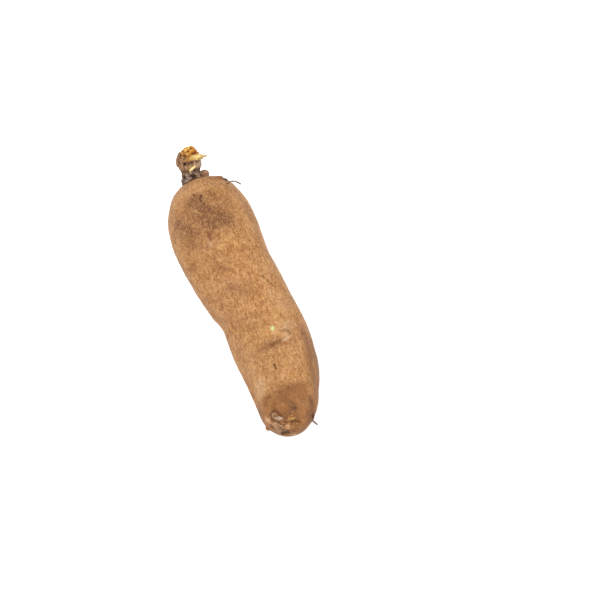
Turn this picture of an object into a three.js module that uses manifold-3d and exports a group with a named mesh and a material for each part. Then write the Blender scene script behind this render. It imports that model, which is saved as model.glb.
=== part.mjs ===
// A yam tuber lying on its belly: the tuber, the woody stump of its vine and two dried rootlets.
// Millimetres. +Y runs from the tip to the head and +Z is up. The origin is under the middle of the
// whole part, on the surface that it lies on.

import * as THREE from "three";
import { mergeVertices } from "three/addons/utils/BufferGeometryUtils.js";
import Module from "manifold-3d";

const wasm = await Module();
wasm.setup();

// The tuber. Stations are [distance from the head end, value].
const TUBER_LENGTH = 290;
const TUBER_HALF_WIDTH = [
  [0, 42], [62, 45.6], [100, 43.6], [130, 42.4], [158, 40.2],
  [176, 40.6], [196, 40.6], [220, 38.2], [245, 35.5], [290, 34],
];
const TUBER_SWAY = [
  [0, -2.5], [50, -5], [100, -2.8], [141, 4.3], [177, 10.5],
  [202, 11.6], [228, 12.2], [250, 9.8], [272, 5], [290, 3.5],
];
const TUBER_LIFT = [
  [0, 4], [50, 0.6], [85, 0], [125, 0.9], [165, 1.6], [205, 0], [240, 0.4], [290, 4],
];
const HEIGHT_TO_WIDTH = 0.96;
const HEAD_DOME = { length: 66, power: 3 };
const TIP_DOME = { length: 64, power: 2.25 };
const BELLY_FLAT_DEPTH = 0.9;
const TUBER_RINGS = 50;
const TUBER_SIDES = 48;

// Swellings and hollows of the skin: where along and around (0 is the top, 90 the +X side), how
// far it rises, and how far it reaches along and around.
const SWELLINGS = [
  { along: 8, around: -65, rise: 1.6, reach: 9, spread: 34 },
  { along: 20, around: 52, rise: -1.8, reach: 16, spread: 34 },
  { along: 40, around: 150, rise: 1.4, reach: 34, spread: 50 },
  { along: 100, around: 215, rise: 1.2, reach: 30, spread: 42 },
  { along: 178, around: -75, rise: -1.2, reach: 16, spread: 45 },
  { along: 186, around: 25, rise: -1.3, reach: 7, spread: 38 },
  { along: 200, around: 30, rise: 1.2, reach: 9, spread: 40 },
  { along: 150, around: 75, rise: 0.7, reach: 16, spread: 40 },
  { along: 262, around: 10, rise: 0.9, reach: 14, spread: 50 },
];

// Blunt knobs where roots have broken away: size is the half width, half length and height.
const ROOT_KNOBS = [
  { along: 275, around: -98, size: [3.2, 2.6, 2.6] },
  { along: 30, around: 118, size: [3.4, 4.2, 2.0] },
];
const ROOT_KNOB_FACES = { around: 12, down: 8 };

// The block below the surface that the tuber lies on, which cuts its belly flat.
const GROUND = { width: 200, length: 400, depth: 40 };

// The stump of the vine. Its profile is [radius, height above the foot].
const STUMP_PROFILE = [
  [0, -7], [11, -7], [12.8, -2], [12.5, 2], [10.8, 5.5], [9.6, 9.5], [10.3, 13], [11.4, 17.5],
  [12.6, 21.5], [12.8, 24.4], [11.4, 26.4], [10.2, 29], [8.8, 32], [6.9, 34.8], [4.2, 36.8], [0, 37.9],
];
const STUMP_SIDES = 36;
const STUMP_FOOT = { side: -6, up: 10 };
const STUMP_TILT = { up: 25, side: 10 };
const STUMP_BOW = { by: 1.8, height: 30 };
// Ridges run up the bark: how many go round, how far they rise, and how far they turn for each
// millimetre of height.
const NARROW_RIDGES = { count: 9, rise: 0.5, twist: 0.12 };
const BROAD_RIDGES = { count: 4, rise: 0.3, twist: -0.3 };
// The bark ends and the torn flesh begins at a height, over a depth. The break slopes with the
// distance from the axis, and its crumbs are waves in radians for each millimetre.
const BREAK = { height: 22, depth: 4, slope: 0.28 };
const CRUMBS = { rise: 0.8, across: 0.75, along: 0.8, upAcross: 0.5, upAlong: -0.4 };

// Pieces of the stump: a splinter on its broken rim, a knob at its foot and a lifted flake of bark.
const SPLINTER = { width: 3.4, thickness: 2.4, length: 13, height: 23.6, turn: 90, rise: 4, reach: 11 };
const SPLINTER_SIDES = 8;
const FOOT_KNOB = { size: [4.6, 4.4, 5], height: 6.2, turn: 88, reach: 12.2 };
const BARK_FLAKE = { size: [3.2, 4.6, 1.8], height: 18.6, turn: -82, reach: 12 };
const STUMP_LUMP_FACES = { around: 14, down: 10 };

// Dried rootlets: routes from inside the skin outwards, as [side, distance from the head, up].
const ROOTLET_SIDES = 8;
const ROOTLET_STEPS = 8;
const CROWN_ROOTLET = {
  radius: 0.75,
  route: [[19, 25, 65], [22.6, 22.4, 70], [27, 22.7, 72.3], [31.5, 25.1, 72], [35.2, 28.3, 70]],
};
const TIP_ROOTLET = {
  radius: 0.6,
  route: [[17.7, 278.7, 38], [21.5, 281.6, 39], [24.5, 283.4, 36], [28, 286.7, 31]],
};

// The gap left between the tuber and whatever grows out of it.
const CLEARANCE = 0.3;
// Points closer together than this are one point.
const SAME_POINT = 1e-3;

const skin = new THREE.MeshStandardMaterial({ color: 0xc08d5e, roughness: 0.85, metalness: 0 });
const bark = new THREE.MeshStandardMaterial({ color: 0x6f5442, roughness: 0.9, metalness: 0 });
const dryRoot = new THREE.MeshStandardMaterial({ color: 0x5c4a3a, roughness: 0.9, metalness: 0 });

const radians = THREE.MathUtils.degToRad;

// A smooth function through stations.
function smooth(stations) {
  const places = stations.map((station) => station[0]);
  const values = stations.map((station) => station[1]);
  const curve = new THREE.CubicInterpolant(places, values, 1, new Float64Array(1));
  return (place) => curve.evaluate(place)[0];
}

const halfWidthAt = smooth(TUBER_HALF_WIDTH);
const swayAt = smooth(TUBER_SWAY);
const liftAt = smooth(TUBER_LIFT);

// Height of the middle of the section, so that the belly lies just below the ground before it is cut.
function axisHeight(distance) {
  return HEIGHT_TO_WIDTH * halfWidthAt(distance) + liftAt(distance) - BELLY_FLAT_DEPTH;
}

// How full the section is at a distance from one end: a superellipse that starts at nothing.
function domeFullness(distance, dome) {
  const left = 1 - Math.min(Math.max(distance / dome.length, 0), 1);
  return Math.pow(1 - Math.pow(left, dome.power), 1 / dome.power);
}

// An angle as the same turn between minus and plus half a circle.
function halfTurn(angle) {
  return THREE.MathUtils.euclideanModulo(angle + Math.PI, 2 * Math.PI) - Math.PI;
}

function swellingAt(distance, angle) {
  let rise = 0;
  for (const swelling of SWELLINGS) {
    const turn = halfTurn(angle - radians(swelling.around));
    const along = (distance - swelling.along) / swelling.reach;
    const around = turn / radians(swelling.spread);
    rise += swelling.rise * Math.exp(-along * along - around * around);
  }
  return rise;
}

// The closed, merged mesh of a geometry as a manifold-3d solid.
function solidOf(geometry) {
  const bare = geometry.clone();
  bare.deleteAttribute("normal");
  bare.deleteAttribute("uv");
  const merged = mergeVertices(bare, SAME_POINT);
  const corners = merged.index.array;
  const kept = [];
  for (let i = 0; i < corners.length; i += 3) {
    const [a, b, c] = corners.slice(i, i + 3);
    if (a !== b && b !== c && c !== a) kept.push(a, b, c);
  }
  const mesh = new wasm.Mesh({
    numProp: 3,
    vertProperties: new Float32Array(merged.attributes.position.array),
    triVerts: new Uint32Array(kept),
  });
  return new wasm.Manifold(mesh);
}

function meshOf(name, solid, material) {
  const { vertProperties, triVerts } = solid.getMesh();
  const geometry = new THREE.BufferGeometry();
  geometry.setAttribute("position", new THREE.BufferAttribute(vertProperties, 3));
  geometry.setIndex(new THREE.BufferAttribute(triVerts, 1));
  geometry.computeVertexNormals();
  const mesh = new THREE.Mesh(geometry, material);
  mesh.name = name;
  return mesh;
}

function moveVertices(geometry, move) {
  const position = geometry.attributes.position;
  const point = new THREE.Vector3();
  for (let i = 0; i < position.count; i += 1) {
    point.fromBufferAttribute(position, i);
    move(point);
    position.setXYZ(i, point.x, point.y, point.z);
  }
  return geometry;
}

// A point of the tuber's frame: distance from the head, sideways, up.
function place(side, distance, up) {
  return new THREE.Vector3(side, TUBER_LENGTH / 2 - distance, up);
}

// A point on the skin.
function skinPoint(distance, angle) {
  const full = domeFullness(distance, HEAD_DOME) * domeFullness(TUBER_LENGTH - distance, TIP_DOME);
  const radius = halfWidthAt(distance) * full + swellingAt(distance, angle) * full;
  const side = swayAt(distance) + radius * Math.sin(angle);
  const up = axisHeight(distance) + HEIGHT_TO_WIDTH * radius * Math.cos(angle);
  return place(side, distance, up);
}

// The tuber's body with its skin moved out by grow: a lathe turned about +Y, then bent along its axis.
function tuberBody(grow) {
  const profile = [];
  for (let ring = 0; ring <= TUBER_RINGS; ring += 1) {
    const turn = (Math.PI * ring) / TUBER_RINGS;
    const height = (Math.cos(turn) * TUBER_LENGTH) / 2;
    profile.push(new THREE.Vector2(Math.sin(turn), height));
  }
  profile.reverse();
  const lathe = new THREE.LatheGeometry(profile, TUBER_SIDES);
  moveVertices(lathe, (point) => {
    const angle = Math.atan2(point.x, point.z);
    const outward = Math.hypot(point.x, point.z);
    const distance = THREE.MathUtils.clamp(TUBER_LENGTH / 2 - point.y, 0, TUBER_LENGTH);
    const lengthwise = (2 * point.y) / TUBER_LENGTH;
    point.copy(skinPoint(distance, angle));
    point.x += grow * outward * Math.sin(angle);
    point.y += grow * lengthwise;
    point.z += grow * outward * Math.cos(angle);
  });
  return solidOf(lathe);
}

// A sphere stretched to size and pushed half way into the skin.
function rootKnob(knob) {
  const sphere = new THREE.SphereGeometry(1, ROOT_KNOB_FACES.around, ROOT_KNOB_FACES.down);
  const angle = radians(knob.around);
  const at = skinPoint(knob.along, angle);
  sphere.scale(knob.size[0], knob.size[1], knob.size[2]);
  sphere.rotateY(angle);
  sphere.translate(at.x, at.y, at.z);
  return solidOf(sphere);
}

function tuber() {
  let solid = tuberBody(0);
  for (const knob of ROOT_KNOBS) solid = solid.add(rootKnob(knob));
  const ground = new THREE.BoxGeometry(GROUND.width, GROUND.length, GROUND.depth);
  ground.translate(0, 0, -GROUND.depth / 2);
  return solid.subtract(solidOf(ground));
}

// Moves a geometry whose +Y is the stump's height onto the head of the tuber.
function ontoHead(geometry) {
  const foot = place(swayAt(0) + STUMP_FOOT.side, 0, axisHeight(0) + STUMP_FOOT.up);
  geometry.rotateX(radians(STUMP_TILT.up));
  geometry.rotateZ(-radians(STUMP_TILT.side));
  geometry.translate(foot.x, foot.y, foot.z);
  return geometry;
}

// Sets a geometry on the stump's side: at a height, turned about its axis (0 is up, 90 is +X).
function ontoStump(geometry, shape) {
  geometry.translate(0, 0, shape.reach);
  geometry.rotateY(radians(shape.turn));
  geometry.translate(0, shape.height, 0);
  return solidOf(ontoHead(geometry));
}

function ridgeAt(ridges, angle, height) {
  return ridges.rise * Math.sin(ridges.count * angle + ridges.twist * height);
}

function crumbAt(side, front, height) {
  const across = Math.sin(CRUMBS.across * side + CRUMBS.upAcross * height);
  const along = Math.cos(CRUMBS.along * front + CRUMBS.upAlong * height);
  return across * along;
}

// The ridged column of bark and, above it, the crumbled break, which slopes up towards the underside.
function stumpColumn() {
  const profile = STUMP_PROFILE.map(([radius, height]) => new THREE.Vector2(radius, height));
  const lathe = new THREE.LatheGeometry(profile, STUMP_SIDES);
  moveVertices(lathe, (point) => {
    const angle = Math.atan2(point.x, point.z);
    const radius = Math.hypot(point.x, point.z);
    const height = point.y;
    const broken = THREE.MathUtils.smoothstep(height, BREAK.height, BREAK.height + BREAK.depth);
    const ridge = ridgeAt(NARROW_RIDGES, angle, height) + ridgeAt(BROAD_RIDGES, angle, height);
    const crumb = CRUMBS.rise * crumbAt(point.x, point.z, height) * broken;
    const rough = ridge * (1 - broken) + crumb;
    const share = radius < SAME_POINT ? 0 : (radius + rough) / radius;
    const bowed = THREE.MathUtils.clamp(height / STUMP_BOW.height, 0, 1);
    point.y = height - BREAK.slope * broken * point.z + crumb;
    point.x = point.x * share - STUMP_BOW.by * Math.sin(Math.PI * bowed);
    point.z *= share;
  });
  return solidOf(ontoHead(lathe));
}

function splinter() {
  const spike = new THREE.ConeGeometry(1, SPLINTER.length, SPLINTER_SIDES);
  spike.rotateX(Math.PI / 2 - radians(SPLINTER.rise));
  spike.scale(SPLINTER.width, SPLINTER.thickness, 1);
  return ontoStump(spike, SPLINTER);
}

function stumpLump(shape) {
  const sphere = new THREE.SphereGeometry(1, STUMP_LUMP_FACES.around, STUMP_LUMP_FACES.down);
  sphere.scale(...shape.size);
  return ontoStump(sphere, shape);
}

function stemStump() {
  const whole = stumpColumn().add(splinter()).add(stumpLump(FOOT_KNOB)).add(stumpLump(BARK_FLAKE));
  return whole.subtract(tuberBody(CLEARANCE));
}

function rootlet(shape) {
  const section = new THREE.Shape();
  for (let side = 0; side < ROOTLET_SIDES; side += 1) {
    const turn = (2 * Math.PI * side) / ROOTLET_SIDES;
    const corner = [shape.radius * Math.cos(turn), shape.radius * Math.sin(turn)];
    if (side === 0) section.moveTo(...corner);
    else section.lineTo(...corner);
  }
  section.closePath();
  const stops = shape.route.map(([side, along, up]) => place(side, along, up));
  const tube = new THREE.ExtrudeGeometry(section, {
    steps: ROOTLET_STEPS,
    bevelEnabled: false,
    extrudePath: new THREE.CatmullRomCurve3(stops),
  });
  return solidOf(tube).subtract(tuberBody(CLEARANCE));
}

const group = new THREE.Group();
group.add(meshOf("tuber", tuber(), skin));
group.add(meshOf("stem_stump", stemStump(), bark));
group.add(meshOf("crown_rootlet", rootlet(CROWN_ROOTLET), dryRoot));
group.add(meshOf("tip_rootlet", rootlet(TIP_ROOTLET), dryRoot));

// The origin goes under the middle of the whole part.
const bounds = new THREE.Box3().setFromObject(group);
const middle = bounds.getCenter(new THREE.Vector3());
group.position.set(-middle.x, -middle.y, -bounds.min.z);

export default group;
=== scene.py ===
"""The looks of a yam tuber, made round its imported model: skin, stump, flesh, flakes and rootlets."""

from math import cos, radians, sin

import bpy
import numpy as np
from mathutils import Matrix, Vector, noise
from mathutils.bvhtree import BVHTree


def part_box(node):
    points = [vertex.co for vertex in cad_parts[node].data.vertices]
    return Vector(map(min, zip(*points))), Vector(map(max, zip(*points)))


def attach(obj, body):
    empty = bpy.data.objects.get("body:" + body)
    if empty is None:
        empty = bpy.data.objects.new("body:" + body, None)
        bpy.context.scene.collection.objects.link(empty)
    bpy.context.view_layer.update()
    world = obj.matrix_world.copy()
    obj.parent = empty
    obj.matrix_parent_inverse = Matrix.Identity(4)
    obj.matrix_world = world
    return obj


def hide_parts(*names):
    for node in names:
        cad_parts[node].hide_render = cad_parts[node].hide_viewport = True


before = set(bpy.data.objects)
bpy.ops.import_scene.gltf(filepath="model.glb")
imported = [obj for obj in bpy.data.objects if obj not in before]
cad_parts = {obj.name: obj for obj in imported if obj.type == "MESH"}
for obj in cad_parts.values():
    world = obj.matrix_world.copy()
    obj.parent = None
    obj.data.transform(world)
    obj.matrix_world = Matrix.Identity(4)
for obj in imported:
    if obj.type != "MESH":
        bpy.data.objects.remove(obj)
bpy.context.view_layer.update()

bl_info = {
    "name": "Yam tuber",
    "version": (1, 0, 0),
    "blender": (4, 5, 0),
    "location": "3D View > Sidebar > Yam",
    "description": "Makes a yam tuber with its torn vine stump, dry flakes and rootlets",
    "category": "Add Mesh",
}

MM = 0.001

# Places on the skin are (millimetres from the head, degrees round: 0 is the top and 90 is +X).
# A mark is a route of places, its half width in millimetres, and its rise in millimetres or its strength.
GROOVES_AND_RIDGES = [
    # The fold across the body, with its hooked end.
    ([(199, 14), (198, 18), (199, 23), (203, 27), (205, 24), (206, 20)], 1.2, -0.9),
    ([(208, 12), (207, 18), (206, 22)], 1.3, 1.0),
    ([(209, -9), (209, -4), (208, 2), (208, 8), (209, 13)], 2.0, -1.3),
    ([(214, -14), (212, -4), (211, 6), (212, 16)], 4.5, 0.9),
    ([(203, -18), (202, -4), (203, 10)], 4.0, 0.6),
    ([(210, -7)], 2.2, -1.1),
    ([(227, -14), (231, -13)], 0.9, -1.3),
    # The sharper turn of the waist, and the fuller side of the tip.
    ([(156, -83), (158, -108), (162, -106), (161, -84)], 10, -1.9),
    ([(182, -89)], 11, 0.7),
    ([(268, 84), (280, 78), (287, 50)], 12, 2.0),
    # Creases and shallow bands.
    ([(136, 26), (140, 32), (143, 34), (148, 39), (150, 42)], 1.3, -0.6),
    ([(138, -24), (147, -7), (148, 13), (141, 28)], 5.0, -0.6),
    ([(170, -40), (172, -10), (170, 22)], 4.0, -0.4),
    ([(108, -40), (112, -8), (107, 30)], 4.5, -0.4),
    ([(60, 120), (61, 150), (59, 185)], 1.4, -0.5),
    ([(118, -120), (120, -150), (117, -175)], 1.3, -0.5),
    ([(172, 130), (174, 100), (173, 76)], 1.6, -0.6),
    ([(226, -100), (228, -130), (226, -155)], 1.5, -0.6),
    # The cluster of scars on the tip.
    ([(269.8, -50), (268, -44.5), (267.8, -38.5), (270.2, -34), (272.6, -30.6), (275, -27)], 0.9, -1.0),
    ([(271.2, -43)], 2.4, 1.1),
    ([(270, -52), (273.7, -51), (276.7, -47), (279.3, -39), (281.5, -35)], 1.0, -1.2),
    ([(275.6, -55), (279.4, -52), (282.4, -50)], 1.4, 0.9),
    ([(282.2, -26), (282.8, -19)], 1.1, -1.0),
    ([(283, -5), (283, 6.7), (284, 21)], 1.0, -0.9),
    ([(276.8, -12), (276.2, 0), (277.4, 10)], 1.4, 0.7),
    ([(278.2, -70), (279.8, -75)], 1.0, -1.2),
    ([(284.2, -59), (285.8, -50)], 1.0, -0.7),
    ([(287.3, -76), (288.1, -73), (288.7, -56)], 1.9, -2.8),
    ([(289.4, -54), (289.8, -22)], 1.1, 0.7),
    ([(285.6, -74), (284.2, -80)], 1.6, 1.0),
    ([(288.2, -9)], 1.8, -0.8),
    ([(266.4, 49), (271.6, 55), (278.7, 65)], 3.2, -0.4),
    ([(247.4, 76)], 1.1, 1.0),
    ([(280.6, 75)], 2.0, 0.8),
    ([(256, -46), (253.5, -41), (255, -37)], 0.9, -0.5),
    ([(261, -44), (266, -46)], 0.8, -0.4),
]
# Dark lines in the folds, the scars and the pinholes.
CRACKS = [
    ([(199, 14), (198, 18), (199, 23), (203, 27)], 1.2, 0.45),
    ([(209, -9), (209, -4), (208, 2), (208, 10)], 1.8, 0.33),
    ([(210, -7)], 2.0, 0.4),
    ([(227, -14), (231, -13)], 1.0, 0.9),
    ([(136, 26), (140, 32), (143, 34), (148, 39)], 1.1, 0.5),
    ([(269.8, -50), (268, -44.5), (267.8, -38.5), (270.2, -34)], 1.2, 0.6),
    ([(270.2, -34), (272.6, -30.6), (275, -27)], 1.7, 0.6),
    ([(270, -52), (273.7, -51), (276.7, -47), (279.3, -39)], 1.2, 0.65),
    ([(284, -60), (285.6, -50)], 1.0, 0.45),
    ([(283, -5), (283, 6.7), (284, 21)], 1.3, 0.5),
    ([(278.2, -70), (279.8, -75)], 1.2, 0.8),
    ([(287.0, -72), (287.6, -64), (288.0, -52)], 3.1, 1.3),
    ([(286.2, -63), (288.1, -43)], 1.1, 0.6),
    ([(266, 48.5), (269, 51.5)], 2.8, 0.5),
    ([(268, 50), (272, 55.5), (278.7, 66)], 4.2, 0.3),
    ([(276, -66), (280.5, -64), (284, -66)], 0.9, 0.5),
    ([(279, -45), (281.5, -50), (285, -58)], 0.9, 0.5),
    ([(276.5, 12), (279, 17), (282, 18)], 1.0, 0.3),
    ([(279.5, 72), (282.6, 79)], 2.2, 0.6),
    ([(30.5, -16)], 1.1, 1.1),
    ([(34.8, -6.6)], 1.1, 1.1),
    ([(34, -18.5)], 1.0, 0.8),
    ([(38.5, -8.6), (41, -8)], 0.9, 0.8),
    ([(28.5, -10)], 0.9, 0.6),
    ([(87.7, 28.4)], 1.1, 0.5),
    ([(12.5, 24), (11.5, 36), (11.7, 47)], 1.0, 0.4),
    ([(256, -46), (253.5, -41), (255, -37)], 1.1, 0.35),
]
# Bruises round the scars of the tip.
BLUE_BLACK_SPOTS = [
    ([(272.2, 10)], 2.0, 0.85),
    ([(272.8, 7)], 3.0, 0.6),
    ([(274.5, -4), (273.5, 2)], 2.2, 0.4),
    ([(264.9, -1.6), (269, 6.8)], 2.2, 0.35),
    ([(281.2, -37.5)], 1.6, 1.0),
    ([(282.2, -26)], 1.6, 1.0),
    ([(277, -22)], 1.5, 0.4),
    ([(288.2, -9)], 2.2, 0.45),
]
# Weathered patches, broken up by light fibres.
DARK_PATCHES = [
    ([(43, -16), (50, -12), (58, -3), (66, 6), (70, 12)], 12.5, 1.05),
    ([(54, -23), (66, -13), (73, -6)], 12, 0.95),
    ([(55, -48), (64, -43), (70, -35)], 12, 0.8),
    ([(36, 8), (50, 22)], 10, 0.62),
    ([(78, -40), (86, -20)], 9, 0.5),
    ([(138, -22), (147, -11), (148, 1)], 8, 0.42),
    ([(214, -24), (224, -12), (236, -18)], 10, 0.3),
    ([(104, -30), (112, -12)], 9, 0.25),
    ([(186, -34), (182, -10)], 10, 0.25),
    ([(70, 120), (96, 140), (120, 150)], 16, 0.8),
    ([(40, -150), (66, -125), (90, -110)], 15, 0.7),
    ([(180, -120), (206, -140)], 13, 0.6),
    ([(214, 110), (240, 120)], 12, 0.6),
]
# Painted shade: darker, browner skin in the folds, on the tip and along the sides, where the light falls off.
PAINTED_SHADE = [
    ([(207, -14), (209, -4), (208, 8)], 6, 0.6),
    ([(209, -28), (214, -40)], 6, 0.1),
    ([(198, 24), (203, 30), (213, 34)], 7, 0.4),
    ([(262, -6), (272, 6), (276, -2)], 12, 1.1),
    ([(254, -43), (252.6, -38)], 2.5, 0.6),
    ([(254, 44), (266.4, 50), (271.6, 56), (278.7, 66)], 3.6, 0.9),
    ([(258, 38), (268, 48), (280, 62)], 8, 0.4),
    ([(208, 78), (236, 76), (256, 74), (272, 82), (281, 74)], 13.5, 1.0),
    ([(203, 52), (220, 56), (234, 54), (246, 54), (256, 56)], 9, 1.0),
    ([(150, 66), (180, 70)], 10, 0.2),
    ([(50, 62), (66, 66)], 8, 0.35),
    ([(216, 26), (240, 30)], 14, 0.2),
    ([(271.5, -42)], 3.0, 0.5),
    ([(276, -46), (284, -38), (286, -10)], 5, 0.45),
    ([(286, 40), (288, 100), (288, 170)], 10, 0.5),
    ([(4, -120), (5, 180), (5, 120)], 12, 0.5),
    ([(12.5, 24), (11.5, 36), (11.7, 47)], 2.5, 0.7),
]
# Small red-brown scratches.
RUST_SPECKS = [
    ([(77.6, -14.6), (81, -14.4), (85, -14.2)], 1.4, 0.8),
    ([(106.3, -4)], 1.2, 0.9),
    ([(114.4, -5.6)], 1.3, 0.7),
    ([(117.6, -16), (115.3, -21)], 1.4, 0.6),
    ([(38, -19), (36, -12)], 3.5, 0.25),
    ([(279.8, -39)], 1.1, 0.8),
    ([(279.6, -6)], 1.5, 0.5),
    ([(266, -37), (269.5, -29)], 1.6, 0.3),
    ([(281.5, 6), (284, 14)], 1.5, 0.3),
    ([(286.4, -16)], 1.6, 0.35),
    ([(287.6, -64), (288.2, -54)], 1.2, 0.7),
]
# Scuffed and dusty skin, and three broad, faint marks of painted light.
SCUFFS_AND_PAINTED_LIGHT = [
    ([(139.5, 23.5), (142.5, 26.5)], 0.9, 0.35),
    ([(152.4, 26), (155.6, 26.4)], 1.0, 0.6),
    ([(208, 12), (207, 18), (206, 22)], 1.3, 0.6),
    ([(203, 19)], 3.0, 0.25),
    ([(196, 22), (190, 34)], 6.0, 0.2),
    # These three are painted light: lighter skin right of the middle, on the left of the tip, and a painted
    # highlight on the lower left.
    ([(165, 32), (176, 36)], 8.0, 0.12),
    ([(239, -47), (245, -58)], 6.5, 0.26),
    ([(196, -58), (212, -44), (226, -56)], 9.0, 0.08),
    ([(88.4, -16.5)], 2.6, 0.25),
    ([(289.4, -54), (289.8, -22)], 1.0, 0.65),
    ([(271.4, -43)], 2.0, 0.4),
    ([(280.6, -60), (284.6, -64)], 3.2, 0.35),
    ([(276, -62), (280, -54), (284, -52)], 1.4, 0.5),
    ([(284, -45), (286.4, -44)], 1.3, 0.45),
    ([(285.2, -84)], 1.3, 0.4),
    ([(277.5, -50), (280.2, -47)], 1.3, 0.5),
    ([(282.5, -68), (286, -70)], 1.6, 0.5),
    ([(281, -42), (284, -41)], 1.2, 0.5),
]
# The yellow-green fleck beside the fold.
GREEN_SPOT = [([(194, 3)], 1.9, 1.0), ([(196.8, 2.5)], 1.2, 0.5)]
# The smooth skin of the tip starts this far from the head, and a drop further down on its sides, which
# begin and end these degrees from its middle. Its edge is soft and wavy.
BARE_TIP_START = 250
BARE_TIP_DROP = 10
BARE_TIP_MIDDLE = -15
BARE_TIP_SIDES = (50, 110)
BARE_TIP_EDGE = 6
BARE_TIP_WAVES = 5
# The edges of the marks are uneven.
STIR_SEED = 4
# Small scars of lost roots on the sides and the belly: how many, within which places, and how wide.
SCARS = 46
SCAR_SEED = 11
SCAR_PLACES = ((24, 250), (62, 298))
SCAR_HALF_WIDTHS = (0.8, 1.5)

# Dry flakes on the skin: name, route, width, thickness, and colours from dark to light.
FLAKES = [
    ("white_flake", [(274.3, -46), (275.6, -39), (276.8, -33), (277.8, -25)],
     3.4, 1.2, ("856650", "b5977f", "d2bcaa")),
    ("grey_flake", [(272.4, -46), (272.2, -38)],
     2.4, 0.7, ("6d4c34", "94704f", "b8987a")),
    ("tan_flake", [(280.1, -17), (280.7, -8), (281.1, 3), (280.6, 8)],
     2.8, 1.4, ("8d5c35", "c99759", "eeca94")),
    ("orange_flake", [(278.8, -14), (278.4, -5), (278.9, 3)],
     2.4, 0.8, ("85502b", "b07844", "cc9a64")),
    ("pale_flake", [(267.8, -69), (272.0, -65), (276.8, -62)],
     6.0, 1.1, ("b07a50", "d4a376", "efcaa6")),
    ("lower_flake", [(276.4, -63), (280.4, -57), (283.2, -56)],
     3.0, 1.1, ("a06c42", "c49062", "dfb188")),
    ("pink_flake", [(283.8, -24), (285.4, -28), (286.6, -32), (287.3, -36)],
     4.6, 1.6, ("a0693f", "cf9c6e", "ebc7a4")),
    ("pink_point", [(286.9, -24), (285.6, -33), (285.8, -42)],
     2.0, 1.2, ("a4683f", "cc9166", "e8bd98")),
    ("hole_flake", [(287.6, -20), (286.2, -8)],
     2.6, 1.4, ("80502f", "ab7547", "cf9f70")),
    ("crown_ridge", [(13.4, 18), (12.4, 28), (11.6, 39), (12.0, 51)],
     3.4, 4.6, ("6c472c", "a57248", "cc9e6c")),
    ("crown_scale", [(12.8, 49.5), (14.4, 52), (16.6, 53.5)],
     2.8, 3.4, ("36291f", "5c4a3c", "8c7866")),
    ("rootlet_scar", [(278.6, 69), (280.8, 74), (282.4, 78)],
     3.4, 1.4, ("3d2720", "6a4637", "9a7460")),
]
# Scurf round the scars of the tip: how many scales, within which places, and their colours.
SCURF = 16
SCURF_SEED = 5
SCURF_PLACES = ((277.5, 286.6), (-66, 8))
SCURF_COLOURS = [
    ("7c4f30", "a97548", "cf9c6c"),
    ("94633c", "c08c5c", "e2b88c"),
    ("4f3426", "77523c", "9b7355"),
]

# Splinters of the break: name, route, widths, thickness, roughness and seed. A route is of places on the
# stump (millimetres above its foot, degrees round, reach), and widths are (share of the length, width).
SPLINTERS = [
    ("torn_lip",
     [(21.6, -20, 11.4), (22.2, 2, 12.0), (23.2, 25, 12.2), (23.8, 50, 12.4), (24.2, 74, 12.6),
      (24.4, 92, 12.2)],
     [(0, 1.4), (0.15, 3.0), (0.5, 4.2), (0.85, 4.6), (1, 1.5)], 4.6, 0.75, 1),
    ("lip_shred",
     [(23.4, -6, 12.4), (24.6, 14, 12.6), (25.2, 34, 12.2)],
     [(0, 1.0), (0.4, 2.4), (0.8, 2.0), (1, 0.6)], 1.8, 0.8, 6),
    ("right_shred",
     [(24.6, 40, 12.8), (25.6, 58, 13.0), (25.4, 76, 13.4)],
     [(0, 0.8), (0.4, 2.2), (0.8, 1.8), (1, 0.5)], 1.6, 0.8, 7),
    ("upper_lip",
     [(25.0, 0, 10.6), (25.6, 28, 11.0), (25.8, 55, 11.6), (25.4, 84, 11.8)],
     [(0, 1.0), (0.3, 2.6), (0.8, 3.0), (1, 1.0)], 2.2, 0.8, 2),
    ("rim_splinter",
     [(24.4, 62, 9.6), (24.6, 74, 12.5), (24.6, 84, 15.4), (24.8, 91, 18.4)],
     [(0, 5.0), (0.5, 4.2), (0.8, 2.8), (1, 1.0)], 2.6, 0.45, 3),
    ("lower_splinter",
     [(22.0, 56, 11.0), (22.4, 72, 12.8), (22.8, 86, 14.4)],
     [(0, 2.6), (0.6, 2.6), (1, 0.8)], 1.8, 0.5, 4),
    ("bark_sliver",
     [(10.6, -8, 10.4), (12.6, 12, 10.9), (14.4, 28, 11.3), (15.2, 38, 11.4)],
     [(0, 1.6), (0.3, 2.8), (0.8, 2.2), (1, 0.6)], 1.6, 0.45, 5),
]
# The one splinter that lies flat on the bark.
FLAT_SPLINTER = "bark_sliver"
# Short shards that stand out of the rim: how many, and the first and last of them in degrees round.
SHARDS = 26
SHARD_TURNS = (-20, 90)


# ---------------------------------------------------------------------------------------------
# Settings


def linear(hex_colour):
    """A written colour such as c08d5e as the linear values that materials take."""
    channels = [int(hex_colour[i:i + 2], 16) / 255 for i in (0, 2, 4)]
    return tuple(c / 12.92 if c <= 0.04045 else ((c + 0.055) / 1.055) ** 2.4 for c in channels)


def colour_property(name, description, hex_colour):
    return bpy.props.FloatVectorProperty(
        name=name, description=description, subtype="COLOR", min=0, max=1, default=linear(hex_colour))


def length_property(name, description, millimetres):
    return bpy.props.FloatProperty(
        name=name, description=description, unit="LENGTH", precision=5, default=millimetres * MM)


def light_property(name, description, amount):
    return bpy.props.FloatProperty(name=name, description=description, min=0, default=amount)


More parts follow.
